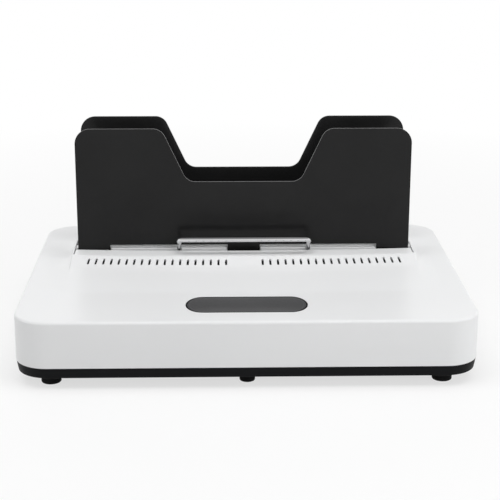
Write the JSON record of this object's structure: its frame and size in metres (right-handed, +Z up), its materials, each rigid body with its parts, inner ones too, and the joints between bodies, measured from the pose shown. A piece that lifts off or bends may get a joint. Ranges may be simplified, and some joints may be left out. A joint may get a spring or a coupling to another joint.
{
  "type": "thermal binding machine",
  "caption": "Desktop thermal binding machine: low white casing with a touch panel, a fixed rear plate and a front plate on a sliding carriage with a chromed pull bar.",
  "frame": {"origin": "on the surface the machine stands on, under the middle of its casing", "axes": "+X to the right of someone facing the front, +Y from the front to the back, +Z up; metres"},
  "size_m": [0.402, 0.302, 0.1898],
  "materials": {
    "white_moulding": "smooth white moulding with a soft sheen",
    "black_moulding": "fine textured black moulding",
    "foot_rubber": "soft black rubber",
    "coated_steel": "black powder coat with a soft sheen",
    "chromed_wire": "polished chrome",
    "screw_steel": "zinc plated",
    "ground_rod": "ground and polished",
    "zinc_sheet": "zinc plated sheet",
    "heater_aluminium": "milled, bare",
    "bush_brass": "turned, bare",
    "element_mica": "mica sheet",
    "thermostat_body": "moulded phenolic",
    "board_laminate": "green lacquered laminate",
    "panel_film": "dark grey satin film",
    "rocker_plastic": "polished black moulding"
  },
  "bodies": {
    "machine": {"base_tray": "black_moulding", "bracket_screw_1": "screw_steel", "bracket_screw_2": "screw_steel", "bracket_screw_3": "screw_steel", "bracket_screw_4": "screw_steel", "control_board": "board_laminate", "control_board_screw_1": "screw_steel", "control_board_screw_2": "screw_steel", "element_clamp": "zinc_sheet", "foot_front_centre": "foot_rubber", "foot_front_left": "foot_rubber", "foot_front_right": "foot_rubber", "foot_rear_centre": "foot_rubber", "foot_rear_left": "foot_rubber", "foot_rear_right": "foot_rubber", "guide_rod_left": "ground_rod", "guide_rod_right": "ground_rod", "heat_trough": "zinc_sheet", "heater_screw_1": "screw_steel", "heater_screw_2": "screw_steel", "heater_screw_3": "screw_steel", "heater_screw_4": "screw_steel", "heating_element": "element_mica", "heating_plate": "heater_aluminium", "housing_screw_1": "screw_steel", "housing_screw_2": "screw_steel", "housing_screw_3": "screw_steel", "housing_screw_4": "screw_steel", "inlet_pin_1": "bush_brass", "inlet_pin_2": "bush_brass", "inlet_pin_3": "bush_brass", "power_board": "board_laminate", "power_board_screw_1": "screw_steel", "power_board_screw_2": "screw_steel", "power_inlet": "black_moulding", "rear_plate": "coated_steel", "rear_plate_screw_1": "screw_steel", "rear_plate_screw_2": "screw_steel", "rear_plate_screw_3": "screw_steel", "rod_bracket_left": "black_moulding", "rod_bracket_right": "black_moulding", "switch_frame": "black_moulding", "temperature_sensor": "screw_steel", "thermal_fuse": "bush_brass", "thermostat": "thermostat_body", "touch_panel": "panel_film", "trough_screw_1": "screw_steel", "trough_screw_2": "screw_steel", "upper_housing": "white_moulding"},
    "carriage": {"carriage": "white_moulding", "front_plate": "coated_steel", "pull_bar": "chromed_wire", "carriage_bush_left": "bush_brass", "carriage_bush_right": "bush_brass", "front_plate_screw_1": "screw_steel", "front_plate_screw_2": "screw_steel", "front_plate_screw_3": "screw_steel"},
    "rocker": {"power_rocker": "rocker_plastic"}
  },
  "joints": [
    {"name": "carriage_slide", "type": "slide", "parent": "machine", "child": "carriage", "axis": [0, 1, 0], "range_m": [0, 0.05]},
    {"name": "rocker_tip", "type": "hinge", "parent": "machine", "child": "rocker", "pos_m": [0.105, 0.146, 0.0405], "axis": [1, 0, 0], "range_deg": [0, 16]}
  ]
}
